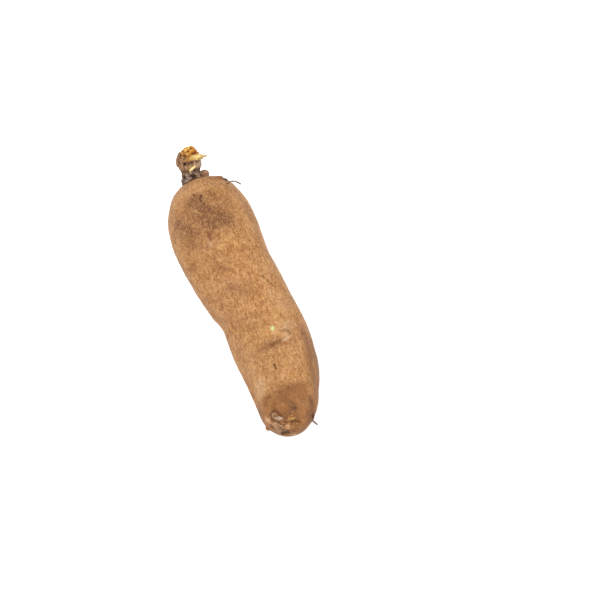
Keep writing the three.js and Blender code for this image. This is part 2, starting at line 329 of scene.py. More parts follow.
class SkinSettings(bpy.types.PropertyGroup):
    grid: length_property("Grid", "Spacing of the skin's mesh", 1.12)
    lump_height: length_property("Lumps", "How far the broad lumps rise", 0.9)
    ring_height: length_property("Rings", "How far the growth rings rise", 0.2)
    fibre_height: length_property("Fibres", "How far the lengthwise fibres rise", 0.16)
    colour: colour_property("Skin", "Middle colour of the skin", "c38e5a")
    dark: colour_property("Dark skin", "Colour between the fibres", "794526")
    light: colour_property("Light skin", "Colour of the scuffed fibres", "eabd88")
    ochre: colour_property("Ochre skin", "Yellower colour of parts of the skin", "c08a48")
    pink: colour_property("Pink skin", "Redder colour of parts of the skin", "c58a61")
    patch: colour_property("Dark patches", "Colour of the weathered patches", "785036")
    bare: colour_property("Bare tip", "Colour of the smooth skin over the tip", "99663c")


class StumpSettings(bpy.types.PropertyGroup):
    grid: length_property("Grid", "Spacing of the stump's mesh", 0.38)
    bark: colour_property("Bark", "Middle colour of the bark", "866853")
    bark_dark: colour_property("Bark hollows", "Colour of the hollows of the bark", "36231a")
    bark_light: colour_property("Bark ridges", "Colour of the dusty ridges", "bca492")
    bast: colour_property("Bast", "Colour of the bared fibres beside the break", "a07655")
    flesh: colour_property("Flesh", "Middle colour of the torn flesh", "efb650")
    flesh_dark: colour_property("Flesh pits", "Colour of the pits of the torn flesh", "8a471b")
    flesh_light: colour_property("Flesh crumbs", "Colour of the dry crumbs", "fde27c")
    cream: colour_property("Splinters", "Colour of the fibrous splinters", "f7da88")


class FlakeSettings(bpy.types.PropertyGroup):
    roughness: bpy.props.FloatProperty(
        name="Roughness", description="How uneven the outline of a flake is", default=0.42, min=0, max=1)


class RootletSettings(bpy.types.PropertyGroup):
    relief: length_property("Relief", "How far the dried rootlets' skin is wrinkled", 0.16)
    colour: colour_property("Rootlet", "Colour of the dried rootlets", "6f5546")


class StageSettings(bpy.types.PropertyGroup):
    floor_colour: colour_property("Floor", "Colour of the floor", "ececec")
    key_power: light_property("Key", "Power of the main lamp", 12.15)
    fill_power: light_property("Fill", "Power of the second lamp", 9)
    sky: light_property("Sky", "Strength of the even light", 0.455)


# ---------------------------------------------------------------------------------------------
# Meshes


def select_only(piece):
    bpy.ops.object.select_all(action="DESELECT")
    piece.select_set(True)
    bpy.context.view_layer.objects.active = piece


def add_modifier(piece, kind, **settings):
    """Adds a modifier and applies it."""
    select_only(piece)
    modifier = piece.modifiers.new(kind.title(), kind)
    for name, value in settings.items():
        setattr(modifier, name, value)
    bpy.ops.object.modifier_apply(modifier=modifier.name)


def merged_copy(node, name):
    """A copy of a node of the frame with its loose triangles merged into one surface."""
    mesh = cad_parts[node].data.copy()
    mesh.name = name
    mesh.materials.clear()
    piece = bpy.data.objects.new(name, mesh)
    bpy.context.scene.collection.objects.link(piece)
    select_only(piece)
    bpy.ops.mesh.customdata_custom_splitnormals_clear()
    bpy.ops.object.mode_set(mode="EDIT")
    bpy.ops.mesh.select_all(action="SELECT")
    bpy.ops.mesh.remove_doubles(threshold=0.01 * MM)
    bpy.ops.mesh.tris_convert_to_quads()
    bpy.ops.object.mode_set(mode="OBJECT")
    return piece


def keep_one_side(piece, point, outwards):
    """Cuts a piece with a plane, drops what lies outwards and closes the cut."""
    select_only(piece)
    bpy.ops.object.mode_set(mode="EDIT")
    bpy.ops.mesh.select_all(action="SELECT")
    bpy.ops.mesh.bisect(plane_co=point, plane_no=outwards, clear_outer=True, use_fill=True)
    bpy.ops.object.mode_set(mode="OBJECT")


def subdivide_near(piece, chosen, cuts):
    """Subdivides the faces whose corners are all chosen."""
    select_only(piece)
    bpy.context.tool_settings.mesh_select_mode = (True, False, False)
    bpy.ops.object.mode_set(mode="EDIT")
    bpy.ops.mesh.select_all(action="DESELECT")
    bpy.ops.object.mode_set(mode="OBJECT")
    piece.data.vertices.foreach_set("select", chosen)
    bpy.ops.object.mode_set(mode="EDIT")
    bpy.ops.mesh.select_mode(type="VERT")
    bpy.ops.mesh.subdivide(number_cuts=cuts)
    bpy.ops.object.mode_set(mode="OBJECT")


def points_of(piece):
    """The places of a piece's vertices, in millimetres."""
    points = np.empty(len(piece.data.vertices) * 3, np.float32)
    piece.data.vertices.foreach_get("co", points)
    return points.reshape(-1, 3).astype(float) / MM


def normals_of(piece):
    normals = np.empty(len(piece.data.vertices) * 3, np.float32)
    piece.data.vertex_normals.foreach_get("vector", normals)
    return normals.reshape(-1, 3).astype(float)


def place_points(piece, points):
    piece.data.vertices.foreach_set("co", (points * MM).astype(np.float32).ravel())
    piece.data.update()


def paint(piece, name, values):
    """Keeps one value for each vertex, for the material to read."""
    attribute = piece.data.attributes.new(name, "FLOAT", "POINT")
    attribute.data.foreach_set("value", np.clip(values, 0, 1).astype(np.float32))


def lumps(points, size, stretch=(1, 1, 1), octaves=1, shift=0.0):
    """Smooth noise of about -1 to 1 at each point, in lumps of a size in millimetres."""
    scaled = points / (size * np.array(stretch, float)) + shift
    return np.array([noise.fractal(Vector(point), 0.9, 2.0, octaves) for point in scaled])


def crumbs(points, size, shift=0.0):
    """Rounded crumbs of a size in millimetres: 1 in their middles and about 0 in the gaps between."""
    return np.array([1 - noise.voronoi(Vector(point))[0][0] * 1.25 for point in points / size + shift])


def stirred(points, amount, size):
    """The points moved about a little, which makes the marks' edges uneven."""
    noise.seed_set(STIR_SEED)
    return points + amount * np.array([noise.noise_vector(Vector(point)) for point in points / size])


def smooth_step(values, low, high):
    share = np.clip((values - low) / (high - low), 0, 1)
    return share * share * (3 - 2 * share)


def band(distance, half_width):
    """1 at no distance, fading to 0 over a half width."""
    return np.exp(-(distance / half_width) ** 2)


def nearness(points, route, half_width):
    """1 on a route, fading to 0 over its half width."""
    nearest = np.full(len(points), np.inf)
    for stop in np.atleast_2d(route):
        nearest = np.minimum(nearest, ((points - stop) ** 2).sum(axis=1))
    return np.exp(-nearest / half_width ** 2)


def face_outwards(piece):
    select_only(piece)
    bpy.ops.object.mode_set(mode="EDIT")
    bpy.ops.mesh.select_all(action="SELECT")
    bpy.ops.mesh.normals_make_consistent(inside=False)
    bpy.ops.object.mode_set(mode="OBJECT")


def finish_piece(piece, material, slot, *nodes):
    piece.data.materials.clear()
    piece.data.materials.append(material)
    select_only(piece)
    bpy.ops.object.shade_smooth()
    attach(piece, "root")
    if nodes:
        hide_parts(*nodes)


def joined(pieces, name):
    """The pieces as one."""
    bpy.ops.object.select_all(action="DESELECT")
    for piece in pieces:
        piece.select_set(True)
    bpy.context.view_layer.objects.active = pieces[0]
    bpy.ops.object.join()
    pieces[0].name = name
    return pieces[0]


def ringed_rod(sides, rings):
    """A rod of radius and length 1 along Z, cut into rings."""
    bpy.ops.object.select_all(action="DESELECT")
    bpy.ops.mesh.primitive_cylinder_add(vertices=sides, radius=1, depth=1, end_fill_type="TRIFAN")
    piece = bpy.context.object
    chosen = [abs(piece.data.vertices[a].co.z - piece.data.vertices[b].co.z) > 0.5
              for a, b in (edge.vertices for edge in piece.data.edges)]
    bpy.context.tool_settings.mesh_select_mode = (False, True, False)
    bpy.ops.object.mode_set(mode="EDIT")
    bpy.ops.mesh.select_all(action="DESELECT")
    bpy.ops.object.mode_set(mode="OBJECT")
    piece.data.edges.foreach_set("select", chosen)
    bpy.ops.object.mode_set(mode="EDIT")
    bpy.ops.mesh.subdivide(number_cuts=rings)
    bpy.ops.object.mode_set(mode="OBJECT")
    return piece


def strip(name, route, facing, widths, thickness, roughness, seed):
    """A solid strip along a route, flat to its facing: widths are (share of the length, width)."""
    piece = ringed_rod(sides=20, rings=30)
    piece.name = name
    rod = np.array([vertex.co for vertex in piece.data.vertices])
    share = rod[:, 2] + 0.5
    route = np.asarray(route, float)
    steps = np.linalg.norm(np.diff(route, axis=0), axis=1)
    stops = np.concatenate([[0], np.cumsum(steps)]) / steps.sum()
    facing = np.broadcast_to(np.asarray(facing, float), route.shape)
    ahead = np.gradient(route, axis=0)
    across = np.cross(ahead, facing)
    across /= np.linalg.norm(across, axis=1)[:, None]
    up = np.cross(across, ahead)
    up /= np.linalg.norm(up, axis=1)[:, None]
    middle, across, up = (np.column_stack([np.interp(share, stops, way[:, i]) for i in range(3)])
                          for way in (route, across, up))
    width = np.interp(share, *zip(*widths)) / 2
    thick = thickness / 2 * np.sqrt(width / width.max())
    turned = rod * np.array([1.6, 1.6, steps.sum() / 5])
    uneven = 1 + roughness * lumps(turned, 1.0, octaves=3, shift=seed * 3.7)
    unrolled = rod * np.array([1, 0, steps.sum() / 2])
    ragged = 1 + roughness * lumps(unrolled, 1.0, octaves=3, shift=seed * 2.3)
    place_points(piece, middle + across * (rod[:, 0] * width * uneven * ragged)[:, None]
                 + up * (rod[:, 1] * thick * uneven)[:, None])
    piece.matrix_world = Matrix.Identity(4)
    face_outwards(piece)
    paint(piece, "along", share)
    return piece


# ---------------------------------------------------------------------------------------------
# Places on the skin and on the stump


class SkinMap:
    """Turns (along, around) places into points of the skin and back, in millimetres and degrees."""

    # The tuber's middle line runs through the middles of slices.
    HALF_SLICE = 5
    SLICE_STEP = 2.0

    def __init__(self, piece):
        self.points = points_of(piece)
        self.head = self.points[:, 1].max()
        polygons = [tuple(polygon.vertices) for polygon in piece.data.polygons]
        self.tree = BVHTree.FromPolygons([Vector(point) for point in self.points], polygons)
        self.stations = np.arange(self.points[:, 1].min() + 1, self.head, self.SLICE_STEP)
        middles = [self.middle_of_slice(station) for station in self.stations]
        self.middle_side, self.middle_up = np.array(middles).T

    def middle_of_slice(self, station):
        near = self.points[np.abs(self.points[:, 1] - station) < self.HALF_SLICE]
        return (near[:, 0].min() + near[:, 0].max()) / 2, (near[:, 2].min() + near[:, 2].max()) / 2

    def middle(self, y):
        side = np.interp(y, self.stations, self.middle_side)
        up = np.interp(y, self.stations, self.middle_up)
        return side, up

    def point(self, along, around):
        """The point of the skin at a place, and the way that the skin faces there."""
        y = self.head - along
        side, up = self.middle(y)
        outwards = Vector((sin(radians(around)), 0, cos(radians(around))))
        point, normal, _, _ = self.tree.ray_cast(Vector((side, y, up)), outwards)
        if point is None:
            point, normal, _, _ = self.tree.find_nearest(Vector((side, y, up)))
        return point, normal

    def coordinates(self, points):
        side, up = self.middle(points[:, 1])
        around = np.degrees(np.arctan2(points[:, 0] - side, points[:, 2] - up))
        return self.head - points[:, 1], around

    def route(self, places, step=0.8):
        """Points of the skin along a route of places, about a step apart."""
        if len(places) == 1:
            return np.array([self.point(*places[0])[0]])
        points = []
        for start, end in zip(places, places[1:]):
            length = (self.point(*start)[0] - self.point(*end)[0]).length
            count = max(int(length / step), 1)
            for share in np.linspace(0, 1, count, endpoint=False):
                place = np.array(start) * (1 - share) + np.array(end) * share
                points.append(self.point(*place)[0])
        points.append(self.point(*places[-1])[0])
        return np.array(points)

    def marks(self, points, table):
        """The strongest mark of a table at each point."""
        found = np.zeros(len(points))
        for places, half_width, strength in table:
            found = np.maximum(found, strength * nearness(points, self.route(places), half_width))
        return found


class StumpMap:
    """Places on the stump: millimetres above its foot, degrees round (0 is up, 90 is +X) and reach."""

    # The middle of the stump's foot, from the low corner of its box, and how the stump leans and bows.
    FOOT_FROM_CORNER = Vector((13.3, 4.2, 13.2))
    UP_TILT = 25
    SIDE_TILT = 10
    BOW = 1.8
    BOW_HEIGHT = 30
    BARK_REACH = 11

    def __init__(self):
        low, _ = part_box("stem_stump")
        self.foot = low / MM + self.FOOT_FROM_CORNER
        side_turn = Matrix.Rotation(-radians(self.SIDE_TILT), 3, "Z")
        up_turn = Matrix.Rotation(radians(self.UP_TILT), 3, "X")
        self.side, self.axis, self.front = (np.array(way) for way in (side_turn @ up_turn).col)

    def bow(self, height):
        return self.BOW * np.sin(np.pi * np.clip(np.asarray(height) / self.BOW_HEIGHT, 0, 1))

    def point(self, height, turn, reach):
        height, turn, reach = np.broadcast_arrays(height, np.radians(turn), reach)
        across = reach * np.sin(turn) - self.bow(height)
        up = reach * np.cos(turn)
        ways = np.multiply.outer(across, self.side) + np.multiply.outer(height, self.axis)
        return np.array(self.foot) + ways + np.multiply.outer(up, self.front)

    def coordinates(self, points):
        local = points - np.array(self.foot)
        side, height, front = (local @ way for way in (self.side, self.axis, self.front))
        side = side + self.bow(height)
        return height, np.degrees(np.arctan2(side, front)), np.hypot(side, front)

    def outwards(self, turn):
        turn = np.radians(turn)
        return np.multiply.outer(np.sin(turn), self.side) + np.multiply.outer(np.cos(turn), self.front)

    def on_side(self, turn, middle, low, high):
        """1 on the side of the stump that faces a middle turn, and 0 on the other."""
        return smooth_step(np.cos(np.radians(turn - middle)), low, high)

    def bark_places(self, height, turn):
        """Places of an even tube of bark, so that noise runs along it and closes round it."""
        turn = np.radians(turn)
        return np.column_stack([np.sin(turn) * self.BARK_REACH, height, np.cos(turn) * self.BARK_REACH])


# ---------------------------------------------------------------------------------------------
# Materials

# Colours of single marks, hollows and ridges, which a user would not change.
# The colour of the painted shade on the skin.
FOLD_SHADE = linear("7a5032")
RUST_SPOT = linear("754425")
SCUFFED_SPOT = linear("e6bd90")
RUST = linear("6e3420")
PALE_SKIN = linear("e9c6a6")
GREEN = linear("d8eb94")
CRACK = linear("31160c")
BLUE_BLACK = linear("43312d")
BAST_HOLLOW, BAST_RIDGE = linear("5b3823"), linear("dab48c")
DUSTY_BARK, DUSTY_RIDGE = linear("7c675a"), linear("b09c90")
# The knob's own paler colour, also used for the painted highlight on its top.
PALE_KNOB = linear("dba07c")
# The colour of the painted shade in the bark's hole, under the lip and in the neck.
BARK_SHADE = linear("1b0f0b")
FLESH_AMBER = linear("d08a30")
TAN_FLESH = (linear("6e4429"), linear("b57f4e"), linear("e0a85c"))
FLESH_PIT = linear("64290f")
# The colour of the painted highlight on the flesh.
FLESH_HIGHLIGHT = linear("f6ead8")
SPLINTER_HOLLOW, SPLINTER_GOLD, SPLINTER_RIDGE = linear("b0742f"), linear("ecbf68"), linear("fef3c8")
WORN_SPLINTER = linear("b07c64")
BROWNED_SPLINTER = linear("c08846")
ROOTLET_HOLLOW, ROOTLET_RIDGE = linear("3a2b21"), linear("a58c70")
RED_ROOTLET = (linear("64403a"), linear("94695e"), linear("c4a298"))


def add_node(tree, kind, inputs=None, **settings):
    node = tree.nodes.new(kind)
    for name, value in settings.items():
        setattr(node, name, value)
    for name, value in (inputs or {}).items():
        if isinstance(value, bpy.types.NodeSocket):
            tree.links.new(value, node.inputs[name])
        else:
            node.inputs[name].default_value = value
    return node


def new_material(name, roughness, specular):
    """An empty material: its tree, its surface shader and the object's own coordinates."""
    material = bpy.data.materials.new(name)
    material.use_nodes = True
    tree = material.node_tree
    shader = tree.nodes["Principled BSDF"]
    shader.inputs["Roughness"].default_value = roughness
    shader.inputs["Specular IOR Level"].default_value = specular
    place = tree.nodes.new("ShaderNodeTexCoord").outputs["Object"]
    return material, tree, shader, place


def stretched(tree, place, stretch):
    mapping = add_node(tree, "ShaderNodeMapping", {"Vector": place})
    mapping.inputs["Scale"].default_value = [1 / amount for amount in stretch]
    return mapping.outputs["Vector"]


def grain(tree, place, size, detail=2.0, roughness=0.55, distortion=0.0):
    """Noise of 0 to 1 in grains of a size in millimetres."""
    inputs = {"Vector": place, "Scale": 1 / (size * MM), "Detail": detail, "Roughness": roughness,
              "Distortion": distortion}
    return add_node(tree, "ShaderNodeTexNoise", inputs).outputs["Fac"]


def calculate(tree, operation, *values):
    node = tree.nodes.new("ShaderNodeMath")
    node.operation = operation
    for socket, value in zip(node.inputs, values):
        if isinstance(value, bpy.types.NodeSocket):
            tree.links.new(value, socket)
        else:
            socket.default_value = value
    return node.outputs[0]


def weighted(tree, parts):
    """A half, plus the swing of each part about its own half times its weight."""
    total = 0.5
    for socket, weight in parts:
        total = calculate(tree, "MULTIPLY_ADD", socket, weight, total)
        total = calculate(tree, "SUBTRACT", total, weight / 2)
    return total


def spread(tree, value, low, high):
    """0 below low, 1 above high and a straight rise between."""
    inputs = {"Value": value, "From Min": low, "From Max": high}
    return add_node(tree, "ShaderNodeMapRange", inputs).outputs["Result"]


def ramp(tree, value, stops):
    node = add_node(tree, "ShaderNodeValToRGB", {"Fac": value})
    elements = node.color_ramp.elements
    while len(elements) < len(stops):
        elements.new(1.0)
    for element, (position, colour) in zip(elements, stops):
        element.position = position
        element.color = (*colour, 1)
    return node.outputs["Color"]


def mixed(tree, share, first, second):
    node = tree.nodes.new("ShaderNodeMix")
    node.data_type = "RGBA"
    for index, value in ((0, share), (6, first), (7, second)):
        if isinstance(value, bpy.types.NodeSocket):
            tree.links.new(value, node.inputs[index])
        elif index == 0:
            node.inputs[index].default_value = value
        else:
            node.inputs[index].default_value = (*value, 1)
    return node.outputs[2]


def painted(tree, name):
    return add_node(tree, "ShaderNodeAttribute", attribute_name=name).outputs["Fac"]


def times(tree, first, second):
    return calculate(tree, "MULTIPLY", first, second)


def add_bump(tree, shader, height, depth):
    bump = add_node(tree, "ShaderNodeBump", {"Height": height, "Strength": 1.0, "Distance": depth})
    tree.links.new(bump.outputs["Normal"], shader.inputs["Normal"])


def skin_material(settings):
    """Dry fibrous skin: lengthwise fibres, grain, growth rings, weathered patches, marks and painted shade.
    """
    material, tree, shader, place = new_material("yam_skin", 0.85, 0.12)
    lengthwise = stretched(tree, place, (1, 2.8, 1))
    fibres = grain(tree, lengthwise, 1.9, detail=3, roughness=0.6, distortion=0.4)
    fine_fibres = grain(tree, lengthwise, 0.7, detail=2, roughness=0.6)
    speckle = grain(tree, place, 2.1, detail=3, roughness=0.6)
    strands = grain(tree, stretched(tree, place, (1, 2.4, 1)), 3.0, detail=1, roughness=0.5, distortion=0.8)
    net = spread(tree, calculate(tree, "ABSOLUTE", calculate(tree, "SUBTRACT", strands, 0.5)), 0.06, 0.0)
    blotches = grain(tree, place, 10, detail=3, roughness=0.6)
    broad = grain(tree, place, 55, detail=2)
    small_hues = grain(tree, place, 4.5, detail=3, roughness=0.65)
    hue = weighted(tree, [(small_hues, 1.0), (grain(tree, place, 34), 0.7)])
    rings = grain(tree, stretched(tree, place, (8, 1, 8)), 5.5, detail=3, roughness=0.6)
    tone = weighted(tree, [
        (fibres, 1.1), (fine_fibres, 0.6), (speckle, 1.15), (net, 0.26), (blotches, 0.45), (broad, 0.25),
        (rings, 0.18), (painted(tree, "relief"), 0.5)])
    colour = ramp(tree, tone, [(0.07, settings.dark), (0.45, settings.colour), (0.84, settings.light)])
    tinted = mixed(tree, spread(tree, hue, 0.36, 0.64), settings.ochre, settings.pink)
    colour = mixed(tree, 0.35, colour, tinted)

    patch = painted(tree, "dark_patch")
    dashes = grain(tree, stretched(tree, place, (1, 2.1, 1)), 1.5, detail=1, roughness=0.5, distortion=0.3)
    light_dashes = spread(tree, weighted(tree, [(dashes, 1.1), (fine_fibres, 0.35)]), 0.36, 0.66)
    patchy = times(tree, patch, calculate(tree, "MULTIPLY_ADD", light_dashes, -0.8, 1.14))
    colour = mixed(tree, calculate(tree, "MINIMUM", patchy, 0.95), colour, settings.patch)
    # Painted shade in the folds, on the tip and along the sides.
    colour = mixed(tree, times(tree, painted(tree, "shade"), 0.68), colour, FOLD_SHADE)

    bare = painted(tree, "bare_tip")
    bare_tone = weighted(tree, [
        (blotches, 0.8), (speckle, 0.5), (fine_fibres, 0.3), (fibres, 0.3), (painted(tree, "relief"), 0.8)])
    bare_colour = ramp(tree, bare_tone, [
        (0.2, tuple(c * 0.6 for c in settings.bare)), (0.5, settings.bare), (0.9, settings.colour)])
    colour = mixed(tree, times(tree, bare, 0.85), colour, bare_colour)

    rust_spots = times(tree, spread(tree, grain(tree, place, 3.3, detail=1), 0.70, 0.76), 0.6)
    pale_spots = times(tree, spread(tree, grain(tree, place, 2.6, detail=1), 0.68, 0.8), 0.35)
    colour = mixed(tree, rust_spots, colour, RUST_SPOT)
    colour = mixed(tree, pale_spots, colour, SCUFFED_SPOT)
    colour = mixed(tree, painted(tree, "rust"), colour, RUST)
    # Scuffs and dust, with broad painted light.
    colour = mixed(tree, painted(tree, "pale"), colour, PALE_SKIN)
    colour = mixed(tree, painted(tree, "green"), colour, GREEN)
    colour = mixed(tree, painted(tree, "crack"), colour, CRACK)
    colour = mixed(tree, painted(tree, "blue_black"), colour, BLUE_BLACK)
    tree.links.new(colour, shader.inputs["Base Color"])
    tree.links.new(spread(tree, bare, 8.5, -8.5), shader.inputs["Roughness"])

    relief = weighted(tree, [(fibres, 0.6), (fine_fibres, 0.3), (speckle, 0.45), (net, 0.12), (rings, 0.2)])
    add_bump(tree, shader, relief, 0.9 * MM)
    return material


def bark_material(settings):
    """Rough dark bark, dusty on its knobs, with bared bast below the break, and painted shade in its hole,
    under the lip and in the neck.
    """
    material, tree, shader, place = new_material("rough_bark", 0.9, 0.12)
    strands = grain(tree, stretched(tree, place, (1, 3.5, 1)), 1.1, detail=4, roughness=0.65)
    speckle = grain(tree, place, 1.1, detail=3, roughness=0.6)
    blotches = grain(tree, place, 6, detail=3)
    height = painted(tree, "relief")
    tone = weighted(tree, [(strands, 0.9), (speckle, 0.9), (blotches, 0.3), (height, 0.8)])
    bark = ramp(tree, tone, [
        (0.2, settings.bark_dark), (0.5, settings.bark), (0.85, settings.bark_light)])
    bast = ramp(tree, tone, [
        (0.15, BAST_HOLLOW), (0.45, settings.bast), (0.85, BAST_RIDGE)])
    colour = mixed(tree, painted(tree, "bast"), bark, bast)
    dusty = ramp(tree, tone, [
        (0.25, settings.bark_dark), (0.5, DUSTY_BARK), (0.75, DUSTY_RIDGE)])
    colour = mixed(tree, painted(tree, "dusty"), colour, dusty)
    # The knob's paler colour, with a painted highlight on its top.
    colour = mixed(tree, painted(tree, "pale"), colour, PALE_KNOB)
    # Painted shade in the hole, under the lip and in the neck.
    colour = mixed(tree, painted(tree, "hollow"), colour, BARK_SHADE)
    tree.links.new(colour, shader.inputs["Base Color"])
    add_bump(tree, shader, weighted(tree, [(strands, 0.6), (speckle, 0.5)]), 0.8 * MM)
    return material


def flesh_material(settings):
    """Torn flesh, dried to orange crumbs with dark pits, and painted highlights near its top."""
    material, tree, shader, place = new_material("torn_flesh", 0.6, 0.25)
    specks = grain(tree, place, 1.0, detail=3, roughness=0.65)
    blotches = grain(tree, place, 5, detail=2)
    height = painted(tree, "relief")
    tone = weighted(tree, [(specks, 0.5), (blotches, 0.7), (height, 1.0)])
    colour = ramp(tree, tone, [
        (0.08, settings.flesh_dark), (0.32, FLESH_AMBER),
        (0.52, settings.flesh), (0.8, settings.flesh_light)])
    tan = ramp(tree, tone, list(zip((0.2, 0.5, 0.8), TAN_FLESH)))
    colour = mixed(tree, painted(tree, "tan"), colour, tan)
    colour = mixed(tree, times(tree, painted(tree, "hollow"), 0.85), colour, FLESH_PIT)
    # Painted highlight: a near-white spot.
    colour = mixed(tree, painted(tree, "pale"), colour, FLESH_HIGHLIGHT)
    tree.links.new(colour, shader.inputs["Base Color"])
    shader.inputs["Subsurface Weight"].default_value = 0.15
    shader.inputs["Subsurface Radius"].default_value = (1.0, 0.5, 0.2)
    shader.inputs["Subsurface Scale"].default_value = 1.2 * MM
    add_bump(tree, shader, specks, 0.6 * MM)
    return material


def fibrous_material(name, colours, roughness=0.75):
    """Dry fibres or flakes, in three colours from their hollows to their tops."""
    material, tree, shader, place = new_material(name, roughness, 0.2)
    strands = grain(tree, place, 0.8, detail=3, roughness=0.65)
    blotches = grain(tree, place, 3.0, detail=2)
    tone = weighted(tree, [(strands, 0.8), (blotches, 0.8)])
    colour = ramp(tree, tone, list(zip((0.2, 0.5, 0.8), colours)))
    tree.links.new(colour, shader.inputs["Base Color"])
    add_bump(tree, shader, strands, 0.4 * MM)
    return material


def splinter_material(settings):
    """Cream fibres that brown towards the tips of the splinters."""
    material, tree, shader, place = new_material("splinters", 0.7, 0.2)
    strands = grain(tree, place, 0.8, detail=3, roughness=0.65)
    blotches = grain(tree, place, 3.0, detail=2)
    tone = weighted(tree, [(strands, 0.7), (blotches, 1.0)])
    colour = ramp(tree, tone, [
        (0.15, SPLINTER_HOLLOW), (0.36, SPLINTER_GOLD), (0.55, settings.cream), (0.8, SPLINTER_RIDGE)])
    worn = spread(tree, painted(tree, "along"), 0.7, 1.0)
    colour = mixed(tree, times(tree, worn, 0.75), colour, WORN_SPLINTER)
    colour = mixed(tree, painted(tree, "browned"), colour, BROWNED_SPLINTER)
    tree.links.new(colour, shader.inputs["Base Color"])
    add_bump(tree, shader, strands, 0.4 * MM)
    return material


# ---------------------------------------------------------------------------------------------
# Pieces


class YAM_OT_skin(bpy.types.Operator):
    """Make the tuber's skin, with its lumps, growth rings, folds and scars"""

    bl_idname = "yam.skin"
    bl_label = "Skin"

    # Marks narrower than this get a finer mesh, out to a reach beyond their half width.
    NARROW = 2.5
    FINE_REACH = 3.5
    # The skin stands up in a collar round the foot of each rootlet.
    COLLAR_HEIGHT = 0.9
    COLLAR_HALF_WIDTH = 1.8
    # How far the edges of the marks are moved about, and in waves of which size.
    STIR, STIR_SIZE = 0.9, 3.5
    # Sizes of the lumps of the skin, from the broadest, and how much longer than round the long ones are.
    LUMP_SIZE, PATCH_SIZE, DENT_SIZE, RING_SIZE, FIBRE_SIZE = 38, 14, 12, 5.5, 3.2
    RING_WIDTH = 8
    FLOOR_GAP = 0.02

    def execute(self, context):
        settings = context.scene.yam_skin
        piece = merged_copy("tuber", "yam_skin")
        add_modifier(piece, "SUBSURF", levels=2, render_levels=2)
        add_modifier(piece, "REMESH", mode="VOXEL", voxel_size=settings.grid)
        add_modifier(piece, "SMOOTH", factor=0.5, iterations=6)
        skin_map = SkinMap(piece)
        self.refine(piece, skin_map, GROOVES_AND_RIDGES + CRACKS)
        points = points_of(piece)
        along, around = skin_map.coordinates(points)
        wobble = lumps(points, self.PATCH_SIZE, octaves=3)
        bare = self.bare_tip(along, around, wobble)
        uneven = stirred(points, self.STIR, self.STIR_SIZE)
        rise = self.relief(settings, points, along, bare)
        paint(piece, "relief", 0.5 + 0.8 * rise)
        rise += settings.lump_height / MM * lumps(points, self.LUMP_SIZE, octaves=2)
        for places, half_width, height in GROOVES_AND_RIDGES + self.scars():
            rise += height * nearness(uneven, skin_map.route(places), half_width)
        for foot in self.rootlet_feet(skin_map):
            rise += self.COLLAR_HEIGHT * nearness(uneven, foot, self.COLLAR_HALF_WIDTH)
        self.paint_marks(piece, skin_map, points, uneven, wobble)
        paint(piece, "bare_tip", bare)
        points += normals_of(piece) * rise[:, None]
        points[:, 2] = np.maximum(points[:, 2], self.FLOOR_GAP)
        place_points(piece, points)
        finish_piece(piece, skin_material(settings), "skin", "tuber")
        return {"FINISHED"}

    def paint_marks(self, piece, skin_map, points, uneven, wobble):
        """Keeps the strength of each kind of mark; the broad ones vary with the wobble."""
        paint(piece, "dark_patch", skin_map.marks(points, DARK_PATCHES) * (1 + 0.5 * wobble))
        # Painted shade in the folds, on the tip and along the sides.
        paint(piece, "shade", skin_map.marks(points, PAINTED_SHADE) * (1 + 0.4 * wobble))
        paint(piece, "crack", skin_map.marks(uneven, CRACKS + self.scars(0.5)))
        paint(piece, "blue_black", skin_map.marks(uneven, BLUE_BLACK_SPOTS))
        paint(piece, "rust", skin_map.marks(uneven, RUST_SPECKS))
        # Scuffs and dust, with broad painted light.
        paint(piece, "pale", skin_map.marks(uneven, SCUFFS_AND_PAINTED_LIGHT))
        paint(piece, "green", skin_map.marks(uneven, GREEN_SPOT))

    def bare_tip(self, along, around, wobble):
        """1 on the smooth skin of the tip and 0 on the fibrous skin."""
        on_side = smooth_step(np.abs(around - BARE_TIP_MIDDLE), *BARE_TIP_SIDES)
        start = BARE_TIP_START + BARE_TIP_DROP * on_side
        return smooth_step(along + BARE_TIP_WAVES * wobble, start - BARE_TIP_EDGE, start + BARE_TIP_EDGE)

    def rootlet_feet(self, skin_map):
        """The points of the skin where the rootlets leave it."""
        feet = []
        for node in ("crown_rootlet", "tip_rootlet"):
            found = [skin_map.tree.find_nearest(Vector(point)) for point in points_of(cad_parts[node])]
            feet.append(min(found, key=lambda hit: hit[3])[0])
        return np.array(feet)

    def scars(self, strength=-0.5):
        """Small scars of lost roots, scattered over the sides and the belly."""
        chance = np.random.default_rng(SCAR_SEED)
        alongs, arounds = (chance.uniform(low, high, SCARS) for low, high in SCAR_PLACES)
        half_widths = chance.uniform(*SCAR_HALF_WIDTHS, SCARS)
        return [([place], half_width, strength) for *place, half_width in zip(alongs, arounds, half_widths)]

    def refine(self, piece, skin_map, table):
        """Splits the faces near the narrow marks, so that the marks come out sharp."""
        points = points_of(piece)
        near = np.zeros(len(points), bool)
        for places, half_width, _ in table:
            if half_width < self.NARROW:
                reach = half_width + self.FINE_REACH
                near |= nearness(points, skin_map.route(places, 2.0), reach) > np.exp(-1)
        subdivide_near(piece, near, 1)

    def relief(self, settings, points, along, bare):
        """The skin's low relief in millimetres: dents, growth rings and fibres, fainter on the bare tip."""
        rough = 1 - 0.6 * bare
        ring_places = np.column_stack([points[:, 0] / self.RING_WIDTH, along, points[:, 2] / self.RING_WIDTH])
        rings = lumps(ring_places, self.RING_SIZE, octaves=2, shift=3)
        fibres = lumps(points, self.FIBRE_SIZE, (1, 2.6, 1), octaves=2, shift=11)
        rise = 0.3 * lumps(points, self.DENT_SIZE, (1, 1.6, 1), shift=7)
        rise += settings.ring_height / MM * rough * rings
        rise += settings.fibre_height / MM * rough * fibres
        return rise


